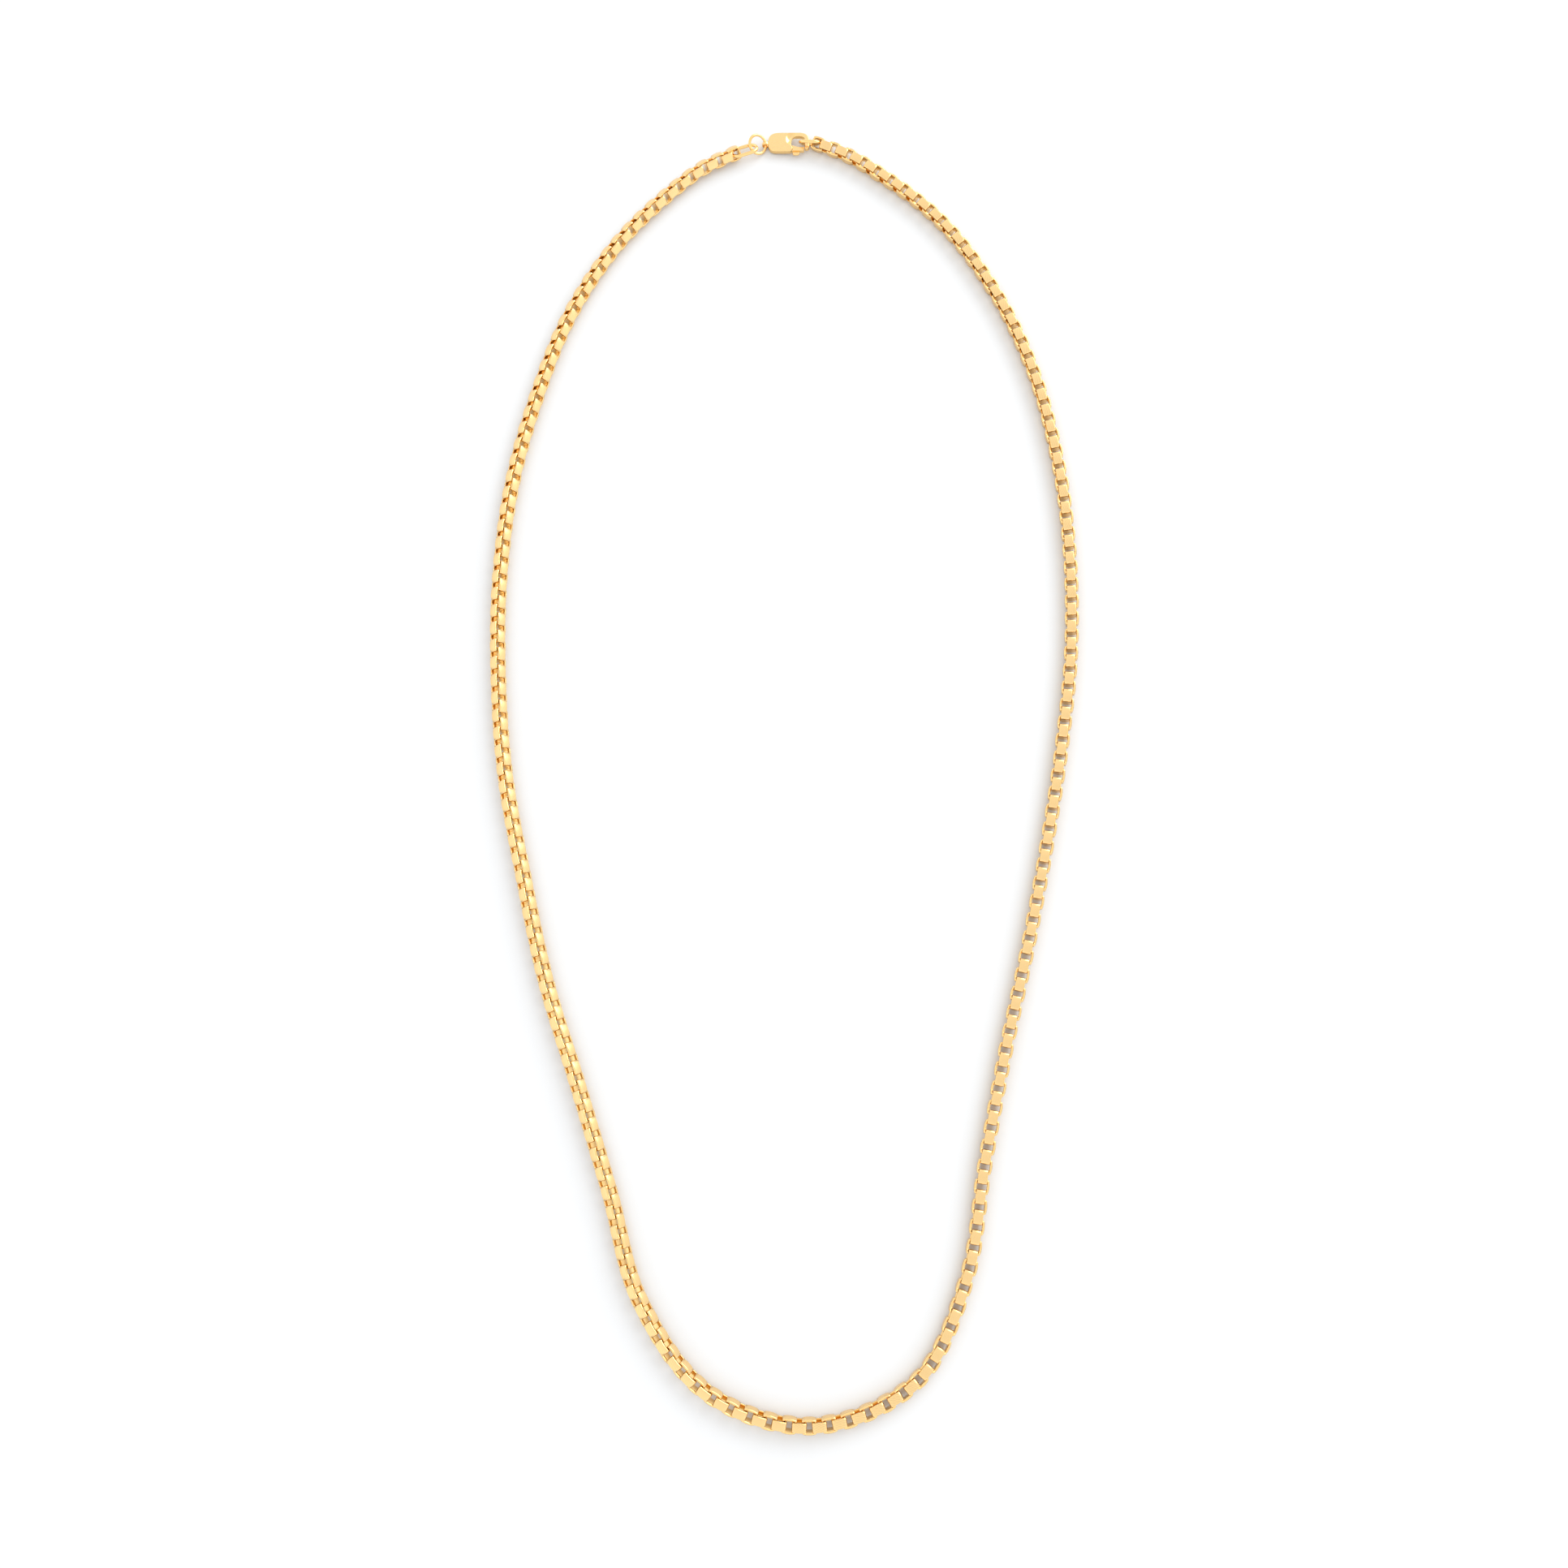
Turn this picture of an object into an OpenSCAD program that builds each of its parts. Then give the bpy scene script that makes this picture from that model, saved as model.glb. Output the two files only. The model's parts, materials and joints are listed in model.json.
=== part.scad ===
// Box chain necklace with a lobster clasp, lying closed on a flat surface.
// X runs to the right, Y from the bottom of the loop to the clasp, Z up.
// The origin is on the surface, at the middle of the necklace's outline.

/* [Chain] */
// Width across opposite faces of the chain
chain_w = 2.6; // [2.4:0.05:3]
// Width of the strip that a link is bent from
strip_w = 1.56; // [1.5:0.02:1.8]
// Thickness of the strip where it passes through the next links
strip_t = 0.34; // [0.25:0.01:0.38]
// Inside length of a link, which is the distance from link to link
link_pitch = 1.654; // [1.55:0.01:1.8]
// Gap between a strip's edge and the link that it passes through
link_play = 0.04; // [0.02:0.01:0.08]
// Drop of a link's outer face from its middle to its ends
face_bow = 0.2; // [0.05:0.01:0.25]

/* [Oval end rings] */
// Wire diameter of both oval rings
oval_wire = 0.66; // [0.5:0.02:0.7]
// Inside width of both oval rings
oval_inner_w = 2.1; // [2:0.05:2.3]
// Outside length of the oval ring in the clasp's hook
right_oval_l = 4.6; // [4.5:0.1:5.4]
// Outside length of the oval ring in the jump ring
left_oval_l = 5.7; // [5:0.1:5.8]

/* [Jump ring] */
// Outside diameter of the round jump ring
jump_d = 4.05; // [3.8:0.05:4.4]
// Wire diameter of the jump ring
jump_wire = 0.55; // [0.45:0.01:0.6]

/* [Clasp body] */
// Length of the body from the eyelet's centre to the end of the hook
body_l = 8.7; // [8.5:0.1:9.2]
// Height of the body above the middle of the eyelet
body_top = 2.36; // [2.2:0.02:2.7]
// Depth of the body below the middle of the eyelet
body_bottom = 1.76; // [1.7:0.02:1.9]
// Thickness of the body
body_t = 1; // [0.9:0.05:1.2]
// Width of the hook where the oval ring hangs
hook_w = 0.87; // [0.7:0.01:0.95]
// Thickness of the hook along its top
hook_top_w = 0.82; // [0.7:0.02:0.95]
// Length of the opening inside the hook
hook_hole_l = 2.68; // [2.6:0.02:2.8]
// Outside diameter of the eyelet
eye_d = 1.4; // [1.3:0.05:1.6]
// Hole diameter of the eyelet
eye_hole_d = 0.94; // [0.88:0.02:1]
// Width of the eyelet along the jump ring's wire
eye_w = 0.5; // [0.4:0.05:0.6]

/* [Clasp lever] */
// Thickness of the lever's arm
lever_t = 0.8; // [0.7:0.05:1]
// Thickness of the lever's tail, inside the body
tail_t = 0.36; // [0.3:0.02:0.5]
// Width of the thumb knob
knob_w = 1.25; // [1:0.05:1.4]
// How far the thumb knob stands out below the lever
knob_l = 0.7; // [0.6:0.05:1.1]
// Thickness of the thumb knob
knob_t = 0.4; // [0.3:0.05:0.6]
// Diameter of the pivot pin
pin_d = 0.4; // [0.3:0.02:0.5]

/* [Fits] */
// Radial running clearance of the lever on its pin
pin_play = 0.03; // [0.02:0.01:0.05]
// Gap all round the pin where the body holds it
pin_fit = 0.01; // [0.005:0.005:0.015]
// Metal over each end of the pin
pin_cover = 0.1; // [0.05:0.01:0.2]
// Gap between the lever and the body
lever_gap = 0.07; // [0.05:0.01:0.1]
// Gap between pieces that lie on or through each other
piece_gap = 0.06; // [0.04:0.01:0.1]

/* [Hidden] */
gold = "goldenrod";
pale_gold = "gold";
$fn = 48;

// How the chain is rolled on the surface: share of its length, angle in degrees.
// At a positive angle its upper face is turned towards the outside of the loop.
roll_table = [
    [0, -20], [0.02, -8], [0.11, -7], [0.2, -12], [0.37, -8], [0.46, 0], [0.52, 15], [0.58, 40], [1, 40]
];
spans_per_point = 12;
tube_rings = 80;
corner_steps = 6;

// Values worked out from the sizes above
link_l = link_pitch + 2 * strip_t;
link_hole_w = strip_w + 2 * link_play;
oval_mid = (oval_inner_w + oval_wire) / 2;
jump_mid = (jump_d - jump_wire) / 2;
slot_t = tail_t + 2 * lever_gap;
pin_l = body_t - 2 * pin_cover;

// Lean of both oval rings towards the middle of the loop, and their turn on the surface
right_lean = 27;
left_lean = 64;
right_turn = -3;
left_turn = 19;

// Places in the clasp, measured from the centre of its eyelet
body_start = 0.5;
hook_inner_x = body_l - hook_w;
hole_left = hook_inner_x - hook_hole_l;
hole_top = body_top - hook_top_w;
hook_tip_y = -1.15;
mouth_y = -0.4;
pivot_back = 0.4;
pivot_drop = 1.05;
pivot = [hole_left - pivot_back, -pivot_drop];
jaw_r = body_bottom - pivot_drop;
arm_r = jaw_r + lever_gap;

// The eyelet lies on the surface, the hook on its oval ring, and the links stand in the ends of the rings
eye_at = [-3.65, 118.2, eye_d / 2];
hook_slack = 0.67;
hook_ring_drop = 0.15;
link_drop = 0.4;
right_reach = right_oval_l / 2 - oval_wire;
left_reach = left_oval_l / 2 - oval_wire;
right_oval_z = oval_mid * cos(right_lean) + oval_wire / 2;
right_oval_at = [eye_at.x + hook_inner_x - hook_slack + right_reach, eye_at.y - hook_ring_drop, right_oval_z];
left_oval_at = [eye_at.x - jump_d - 0.15, eye_at.y - 1.9, 1.5];
first_link_at = [right_oval_at.x + right_reach, right_oval_at.y - link_drop];
last_link_at = [left_oval_at.x - left_reach * cos(left_turn), left_oval_at.y - left_reach * sin(left_turn)];

// Centre line of the chain, from the link next to the hook round to the link next to the jump ring
route = [
    first_link_at, [15.5, 113.5], [30, 101.5], [40.5, 86], [47.5, 69], [51.5, 50.5], [53, 32], [52.5, 13.5],
    [50, -5], [46.5, -23.5], [42.5, -41.5], [38, -59.5], [34, -78], [30.5, -96], [22, -112],
    [5, -119], [-12.5, -114], [-24, -99.5], [-29.5, -82], [-35.5, -64], [-41.5, -46.5], [-46, -28.5],
    [-50, -10], [-52, 8.5], [-52.5, 27], [-51, 45.5], [-47, 63.5], [-41, 81], [-31.5, 97],
    [-18.5, 110.5], last_link_at
];

// A curve through the route's points: each span is a cubic with tangents along its neighbours
function route_point(i) = route[max(0, min(len(route) - 1, i))];
function span_point(i, t) =
    let (
        a = route_point(i - 1),
        b = route_point(i),
        c = route_point(i + 1),
        d = route_point(i + 2)
    )
    0.5 * (2 * b + (c - a) * t + (2 * a - 5 * b + 4 * c - d) * t * t + (3 * b - a - 3 * c + d) * t * t * t);
curve = [
    for (i = [0 : len(route) - 2], k = [0 : spans_per_point - 1]) span_point(i, k / spans_per_point),
    route[len(route) - 1]
];
travel = [
    for (i = 0, s = 0; i < len(curve); s = s + norm(curve[min(i + 1, len(curve) - 1)] - curve[i]), i = i + 1) s
];
chain_l = travel[len(travel) - 1];
x_table = [for (i = [0 : len(curve) - 1]) [travel[i], curve[i].x]];
y_table = [for (i = [0 : len(curve) - 1]) [travel[i], curve[i].y]];

// Place, heading and roll of the chain at a distance s along it
function roll_at(s) = lookup(s / chain_l, roll_table);
function rest_height(roll) = max([
    for (side = [-1, 1], corner = [[strip_w, chain_w], [chain_w, strip_w]])
        (side * corner.x * sin(roll) + corner.y * cos(roll)) / 2
]);
function centre_at(s) = [lookup(s, x_table), lookup(s, y_table), rest_height(roll_at(s))];
function heading_at(s) =
    let (step = centre_at(min(s + 0.5, chain_l)) - centre_at(max(s - 0.5, 0)))
    atan2(step.y, step.x);

// The chain's outline across its length: two crossed strips make an octagon
octagon = [
    for (turn = [0 : 90 : 270], side = [-1, 1])
        let (p = [chain_w / 2, side * strip_w / 2])
        [p.x * cos(turn) - p.y * sin(turn), p.x * sin(turn) + p.y * cos(turn)]
];
function section_at(s) =
    let (
        middle = centre_at(s),
        out = heading_at(s) + 90,
        roll = roll_at(s)
    )
    [
        for (p = octagon)
            let (
                across = p.x * cos(roll) + p.y * sin(roll),
                up = p.y * cos(roll) - p.x * sin(roll)
            )
            middle + [across * cos(out), across * sin(out), up]
    ];

// A closed outline with softened corners: each row is a corner and how far its curve reaches
function unit(v) = v / norm(v);
function flat(p) = [p.x, p.y];
function soft_outline(corners) = [
    for (i = [0 : len(corners) - 1])
        let (
            n = len(corners),
            c = flat(corners[i]),
            a = c + unit(flat(corners[(i + n - 1) % n]) - c) * corners[i][2],
            b = c + unit(flat(corners[(i + 1) % n]) - c) * corners[i][2]
        )
        for (k = [0 : corner_steps])
            let (t = k / corner_steps)
            (1 - t) * (1 - t) * a + 2 * t * (1 - t) * c + t * t * b
];

// The run of the chain between its two end links
module chain() {
    start = link_l / 2 + 2 * piece_gap;
    step = (chain_l - 2 * start) / (tube_rings - 1);
    sides = len(octagon);
    points = [for (i = [0 : tube_rings - 1]) each section_at(start + i * step)];
    walls = [
        for (i = [0 : tube_rings - 2], k = [0 : sides - 1])
            let (a = i * sides + k, b = i * sides + (k + 1) % sides)
            each [[a, a + sides, b], [b, a + sides, b + sides]]
    ];
    last = (tube_rings - 1) * sides;
    color(gold)
        polyhedron(concat(points), concat(
            walls,
            [[for (k = [0 : sides - 1]) k]],
            [[for (k = [sides - 1 : -1 : 0]) last + k]]
        ));
}

// One link: a strip bent into a box, with its outer faces bowed
module link() {
    half_l = link_l / 2;
    bend = strip_t * 0.8;
    bow_x = half_l - bend;
    side = [
        for (k = [-corner_steps : corner_steps])
            let (t = k / corner_steps)
            [bow_x * t, chain_w / 2 - face_bow * t * t]
    ];
    end_h = chain_w / 2 - face_bow - bend;
    outline = concat(
        [[-half_l, end_h]],
        side,
        [[half_l, end_h], [half_l, -end_h]],
        [for (i = [len(side) - 1 : -1 : 0]) [side[i].x, -side[i].y]],
        [[-half_l, -end_h]]
    );
    linear_extrude(strip_w, center = true)
        difference() {
            polygon(outline);
            square([link_pitch, link_hole_w], center = true);
        }
}

// The first link of the chain stands in the oval ring of the hook
module right_end_link() {
    color(gold)
        translate(centre_at(0))
            rotate([-roll_at(0), 0, heading_at(0)])
                link();
}

// The last link stands in the oval ring of the jump ring, a quarter turn round from the first
module left_end_link() {
    color(gold)
        translate(centre_at(chain_l))
            rotate([90 - roll_at(chain_l), 0, heading_at(chain_l)])
                link();
}

// A ring of round wire with two straight sides, standing in the XZ plane
module oval_ring(length) {
    straight = length - 2 * oval_mid - oval_wire;
    for (end = [0, 180])
        rotate([0, end, 0]) {
            translate([straight / 2, 0, 0])
                rotate([90, 0, 0])
                    rotate([0, 0, -90])
                        rotate_extrude(angle = 180)
                            translate([oval_mid, 0])
                                circle(d = oval_wire);
            translate([0, 0, oval_mid])
                rotate([0, 90, 0])
                    cylinder(d = oval_wire, h = straight, center = true);
        }
}

module right_oval_ring() {
    color(pale_gold)
        translate(right_oval_at)
            rotate([right_lean, 0, right_turn])
                oval_ring(right_oval_l);
}

module left_oval_ring() {
    color(pale_gold)
        translate(left_oval_at)
            rotate([left_lean, 0, left_turn])
                oval_ring(left_oval_l);
}

// The clasp rises from its eyelet so that its hook clears the oval ring below it
hook_x = body_l - hook_w / 2;
hook_z = oval_wire + 2 * piece_gap + body_t / 2;
clasp_tilt = asin((hook_z - eye_at.z) / hook_x);
clasp_turn = -2.5;
module place_clasp() {
    translate(eye_at)
        rotate([0, -clasp_tilt, clasp_turn])
            children();
}

// The jump ring passes through the eyelet and is tipped over the left oval ring
jump_lean = 18;
jump_tip = 28;
jump_hang = 14;
module jump_ring() {
    color(pale_gold)
        translate(eye_at)
            rotate([jump_lean, jump_tip, 0])
                translate(-jump_mid * [cos(jump_hang), sin(jump_hang), 0])
                    rotate_extrude()
                        translate([jump_mid, 0])
                            circle(d = jump_wire);
}

// The body's corners: how far each one's curve reaches along its sides
shoulder = 2;
nose = 1.2;
back = 1.4;
hole_back = 0.9;
hole_front = 0.7;
tip = 0.5;
tip_inner = 0.2;
heel = 0.3;
crisp = 0.05;
module body_outline() {
    difference() {
        polygon(soft_outline([
            [body_start, body_top, shoulder],
            [body_l, body_top, nose],
            [body_l, hook_tip_y, tip],
            [hook_inner_x, hook_tip_y, tip_inner],
            [hook_inner_x, mouth_y, crisp],
            [pivot.x, mouth_y, crisp],
            [pivot.x, -body_bottom, heel],
            [body_start, -body_bottom, back]
        ]));
        polygon(soft_outline([
            [hole_left, hole_top, hole_back],
            [hook_inner_x, hole_top, hole_front],
            [hook_inner_x, hook_tip_y, crisp],
            [hole_left, hook_tip_y, crisp]
        ]));
    }
    translate(pivot)
        circle(jaw_r);
}

neck_l = 0.8;
neck_t = 0.7;
module clasp_body() {
    color(pale_gold)
        place_clasp()
            difference() {
                union() {
                    linear_extrude(body_t, center = true)
                        body_outline();
                    rotate([90, 0, 0])
                        cylinder(d = eye_d, h = eye_w, center = true);
                    translate([body_start, 0, 0])
                        cube([neck_l, eye_w, neck_t], center = true);
                }
                rotate([90, 0, 0])
                    cylinder(d = eye_hole_d, h = 3 * eye_w, center = true);
                translate([pivot.x, pivot.y, 0]) {
                    cylinder(r = arm_r, h = slot_t, center = true);
                    cylinder(d = pin_d + 2 * pin_fit, h = pin_l + 2 * pin_fit, center = true);
                }
            }
}

// The lever closes the hook; its thumb knob stands out below
arm_base_rise = 0.5;
arm_tip_rise = 0.2;
arm_tip_gap = 0.1;
arm_bottom = -1.6;
arm_nose = 0.15;
arm_chin = 0.25;
knob_ahead = 0.68;
knob_root = 0.2;
knob_round = 0.5;
knob_z = -0.15;
tail_w = 0.6;
module clasp_lever() {
    base_x = pivot.x + jaw_r / 2;
    tip_x = hook_inner_x - arm_tip_gap;
    knob_x = pivot.x + knob_ahead;
    color(pale_gold)
        place_clasp()
            difference() {
                union() {
                    linear_extrude(lever_t, center = true)
                        difference() {
                            polygon(soft_outline([
                                [base_x, pivot.y + arm_base_rise, crisp],
                                [tip_x, pivot.y + arm_tip_rise, arm_nose],
                                [tip_x, arm_bottom, arm_chin],
                                [base_x, arm_bottom, crisp]
                            ]));
                            translate(pivot)
                                circle(arm_r);
                        }
                    translate([0, 0, knob_z])
                        linear_extrude(knob_t, center = true)
                            polygon(soft_outline([
                                [knob_x, arm_bottom + knob_root, crisp],
                                [knob_x + knob_w, arm_bottom + knob_root, crisp],
                                [knob_x + knob_w, arm_bottom - knob_l, knob_round],
                                [knob_x, arm_bottom - knob_l, knob_round]
                            ]));
                    translate([pivot.x, pivot.y, 0])
                        cylinder(r = jaw_r - lever_gap, h = tail_t, center = true);
                    translate([pivot.x, pivot.y - tail_w / 2, -tail_t / 2])
                        cube([arm_r + tail_w / 2, tail_w, tail_t]);
                }
                translate([pivot.x, pivot.y, 0])
                    cylinder(d = pin_d + 2 * pin_play, h = 2 * body_t, center = true);
            }
}

module clasp_pin() {
    color("darkgoldenrod")
        place_clasp()
            translate([pivot.x, pivot.y, 0])
                cylinder(d = pin_d, h = pin_l, center = true);
}

chain();
right_end_link();
left_end_link();
right_oval_ring();
left_oval_ring();
jump_ring();
clasp_body();
clasp_lever();
clasp_pin();
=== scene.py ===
"""Box chain necklace: gold box links, oval end rings, jump ring and lobster clasp, lying in a long loop."""

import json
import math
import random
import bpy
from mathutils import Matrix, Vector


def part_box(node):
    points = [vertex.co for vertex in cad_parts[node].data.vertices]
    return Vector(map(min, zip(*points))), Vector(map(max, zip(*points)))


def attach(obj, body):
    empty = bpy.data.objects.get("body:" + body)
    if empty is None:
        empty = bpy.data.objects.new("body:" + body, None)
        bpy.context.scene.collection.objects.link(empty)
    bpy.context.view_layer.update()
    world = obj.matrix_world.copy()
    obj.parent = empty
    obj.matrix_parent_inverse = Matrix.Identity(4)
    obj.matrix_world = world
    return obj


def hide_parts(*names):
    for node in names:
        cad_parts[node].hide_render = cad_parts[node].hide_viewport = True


bl_info = {
    "name": "Box Chain Necklace",
    "version": (1, 0, 0),
    "blender": (4, 5, 0),
    "location": "View3D > Sidebar > Necklace",
    "description": "Makes a gold box chain closed with a lobster clasp, and the stage it lies on",
    "category": "Add Mesh",
}

import bmesh
import bpy
from bpy.props import FloatProperty, FloatVectorProperty, IntProperty, PointerProperty
from mathutils import Matrix, Vector

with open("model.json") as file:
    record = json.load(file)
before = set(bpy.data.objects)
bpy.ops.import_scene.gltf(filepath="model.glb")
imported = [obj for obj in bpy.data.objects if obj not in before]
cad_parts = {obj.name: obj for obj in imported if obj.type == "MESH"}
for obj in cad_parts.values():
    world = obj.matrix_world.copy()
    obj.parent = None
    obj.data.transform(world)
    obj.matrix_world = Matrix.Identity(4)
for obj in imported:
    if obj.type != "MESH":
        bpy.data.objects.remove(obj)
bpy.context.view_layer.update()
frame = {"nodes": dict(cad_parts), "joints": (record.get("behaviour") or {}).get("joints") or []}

MM = 0.001
X_AXIS = Vector((1, 0, 0))
Y_AXIS = Vector((0, 1, 0))
Z_AXIS = Vector((0, 0, 1))

# Centre line of the chain in metres, from the link next to the hook round to the link next to the jump ring
ROUTE = [
    (0.00679, 0.11765), (0.0155, 0.1135), (0.0300, 0.1015), (0.0405, 0.0860), (0.0475, 0.0690),
    (0.0515, 0.0505), (0.0530, 0.0320), (0.0525, 0.0135), (0.0500, -0.0050), (0.0465, -0.0235),
    (0.0425, -0.0415), (0.0380, -0.0595), (0.0340, -0.0780), (0.0305, -0.0960), (0.0220, -0.1120),
    (0.0050, -0.1190), (-0.0125, -0.1140), (-0.0240, -0.0995), (-0.0295, -0.0820), (-0.0355, -0.0640),
    (-0.0415, -0.0465), (-0.0460, -0.0285), (-0.0500, -0.0100), (-0.0520, 0.0085), (-0.0525, 0.0270),
    (-0.0510, 0.0455), (-0.0470, 0.0635), (-0.0410, 0.0810), (-0.0315, 0.0970), (-0.0185, 0.1105),
    (-0.00992, 0.11559),
]
# How the chain is rolled on the surface: share of its length, angle in degrees
ROLL = [
    (0, -20), (0.02, -8), (0.11, -7), (0.2, -12), (0.37, -8), (0.46, 0), (0.52, 15),
    (0.58, 40), (1, 40),
]
SPANS_PER_POINT = 12
# Turns of the rings, in degrees, as they lie
RIGHT_OVAL_TURN = (27, 0, -3)
LEFT_OVAL_TURN = (64, 0, 19)
JUMP_TURN = (18, 28, 0)


class ChainSizes(bpy.types.PropertyGroup):
    """Sizes of the box links"""

    width: FloatProperty(
        name="Chain width", description="Width across opposite faces of the chain",
        default=2.6 * MM, unit="LENGTH", precision=5,
    )
    strip_width: FloatProperty(
        name="Strip width", description="Width of the strip that a link is bent from",
        default=1.56 * MM, unit="LENGTH", precision=5,
    )
    strip_thickness: FloatProperty(
        name="Strip thickness", description="Thickness of the strip where it passes through the next links",
        default=0.4 * MM, unit="LENGTH", precision=5,
    )
    pitch: FloatProperty(
        name="Pitch", description="Distance from link to link",
        default=1.654 * MM, unit="LENGTH", precision=5,
    )
    play: FloatProperty(
        name="Play", description="Gap between a strip's edge and the link that it passes through",
        default=0.04 * MM, unit="LENGTH", precision=5,
    )
    bow: FloatProperty(
        name="Bow", description="Drop of a link's outer face from its middle to its ends",
        default=0.2 * MM, unit="LENGTH", precision=5,
    )
    rim: FloatProperty(
        name="Rim", description="Width of the polished bevel along a link's edges",
        default=0.12 * MM, unit="LENGTH", precision=5,
    )
    sway: FloatProperty(
        name="Sway", description="Largest turn of a single link away from its place",
        default=math.radians(1.4), subtype="ANGLE",
    )
    seed: IntProperty(name="Seed", description="Seed of the links' small turns", default=7)


class RingSizes(bpy.types.PropertyGroup):
    """Sizes of the oval rings and the jump ring"""

    oval_wire: FloatProperty(
        name="Oval wire", description="Wire diameter of the oval rings", default=0.66 * MM, unit="LENGTH",
        precision=5,
    )
    oval_inner_width: FloatProperty(
        name="Oval inner width", description="Inside width of the oval rings",
        default=2.1 * MM, unit="LENGTH", precision=5,
    )
    right_oval_length: FloatProperty(
        name="Right oval length", description="Outside length of the oval ring in the hook",
        default=4.6 * MM, unit="LENGTH", precision=5,
    )
    left_oval_length: FloatProperty(
        name="Left oval length", description="Outside length of the oval ring in the jump ring",
        default=5.7 * MM, unit="LENGTH", precision=5,
    )
    jump_diameter: FloatProperty(
        name="Jump ring diameter", description="Outside diameter of the jump ring", default=4.05 * MM,
        unit="LENGTH", precision=5,
    )
    jump_wire: FloatProperty(
        name="Jump ring wire", description="Wire diameter of the jump ring", default=0.55 * MM, unit="LENGTH",
        precision=5,
    )


class ClaspSizes(bpy.types.PropertyGroup):
    """Sizes of the lobster clasp, measured from the centre of its eyelet"""

    length: FloatProperty(
        name="Length", description="From the eyelet's centre to the end of the hook", default=8.7 * MM,
        unit="LENGTH", precision=5,
    )
    top: FloatProperty(
        name="Top", description="Height of the body above the eyelet's centre", default=2.36 * MM,
        unit="LENGTH", precision=5,
    )
    bottom: FloatProperty(
        name="Bottom", description="Depth of the body below the eyelet's centre", default=1.76 * MM,
        unit="LENGTH", precision=5,
    )
    thickness: FloatProperty(
        name="Thickness", description="Thickness of the body", default=1 * MM, unit="LENGTH", precision=5,
    )
    hook_width: FloatProperty(
        name="Hook width", description="Width of the hook where the ring hangs", default=0.87 * MM,
        unit="LENGTH", precision=5,
    )
    hook_top_width: FloatProperty(
        name="Hook top", description="Width of the hook along its top", default=0.82 * MM, unit="LENGTH",
        precision=5,
    )
    hole_length: FloatProperty(
        name="Hole length", description="Length of the opening inside the hook", default=2.68 * MM,
        unit="LENGTH", precision=5,
    )
    eye_diameter: FloatProperty(
        name="Eyelet diameter", description="Outside diameter of the eyelet", default=1.4 * MM, unit="LENGTH",
        precision=5,
    )
    eye_hole: FloatProperty(
        name="Eyelet hole", description="Hole diameter of the eyelet", default=0.94 * MM, unit="LENGTH",
        precision=5,
    )
    eye_width: FloatProperty(
        name="Eyelet width", description="Width of the eyelet along the jump ring's wire", default=0.7 * MM,
        unit="LENGTH", precision=5,
    )
    lever_thickness: FloatProperty(
        name="Lever thickness", description="Thickness of the lever's arm", default=0.8 * MM, unit="LENGTH",
        precision=5,
    )
    tail_thickness: FloatProperty(
        name="Tail thickness", description="Thickness of the lever's tail inside the body",
        default=0.36 * MM, unit="LENGTH", precision=5,
    )
    knob_width: FloatProperty(
        name="Knob width", description="Width of the thumb knob",
        default=1.4 * MM, unit="LENGTH", precision=5,
    )
    knob_length: FloatProperty(
        name="Knob length", description="How far the thumb knob stands out", default=0.7 * MM, unit="LENGTH",
        precision=5,
    )
    knob_thickness: FloatProperty(
        name="Knob thickness", description="Thickness of the thumb knob", default=0.4 * MM, unit="LENGTH",
        precision=5,
    )
    gap: FloatProperty(
        name="Lever gap", description="Gap between the lever and the body", default=0.035 * MM, unit="LENGTH",
        precision=5,
    )


class GoldFinish(bpy.types.PropertyGroup):
    """Colours and gloss of the gold"""

    colour: FloatVectorProperty(
        name="Gold", description="Reflected colour of the polished gold", subtype="COLOR", size=3,
        default=(0.93, 0.63, 0.27), min=0, max=1,
    )
    satin_colour: FloatVectorProperty(
        name="Satin gold", description="Reflected colour of the satin faces", subtype="COLOR", size=3,
        default=(0.91, 0.635, 0.295), min=0, max=1,
    )
    polished: FloatProperty(
        name="Polished roughness", description="Roughness of the polished metal", default=0.12, min=0, max=1,
    )
    satin: FloatProperty(
        name="Satin roughness", description="Roughness of the satin faces", default=0.3, min=0, max=1,
    )


class StageLook(bpy.types.PropertyGroup):
    """The camera, the floor, the tent of light and the softbox"""

    tilt: FloatProperty(
        name="Camera tilt", description="Lean of the camera from straight down", default=math.radians(12),
        subtype="ANGLE",
    )
    distance: FloatProperty(
        name="Camera distance", description="From the camera to the surface at the middle of the frame",
        default=0.2597, unit="LENGTH",
    )
    aim: FloatProperty(
        name="Aim", description="Where the middle of the frame meets the surface, along Y",
        default=-11.3 * MM, unit="LENGTH",
    )
    focal_share: FloatProperty(
        name="Focal length", description="Focal length as a share of the frame's width", default=1776 / 1932,
    )
    floor_colour: FloatVectorProperty(
        name="Floor", description="Colour of the floor", subtype="COLOR", size=3,
        default=(0.775, 0.79, 0.805), min=0, max=1,
    )
    overhead: FloatProperty(
        name="Overhead", description="Brightness of the tent straight above", default=1.05, min=0,
    )
    horizon: FloatProperty(
        name="Horizon", description="How much brighter the tent is low down", default=0.4, min=0,
    )
    key_power: FloatProperty(name="Key light", description="Power of the softbox", default=11, unit="POWER")


def settings():
    """The necklace's property groups, on the scene."""
    return bpy.context.scene.necklace


def finished_object(name, bm, materials):
    """Turns a bmesh into an object at the origin with its materials, smooth faces and even highlights."""
    mesh = bpy.data.meshes.new(name)
    bm.to_mesh(mesh)
    bm.free()
    for material in materials:
        mesh.materials.append(material)
    mesh.shade_smooth()
    obj = bpy.data.objects.new(name, mesh)
    bpy.context.collection.objects.link(obj)
    weighted = obj.modifiers.new("even_highlights", "WEIGHTED_NORMAL")
    weighted.keep_sharp = True
    return obj


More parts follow.
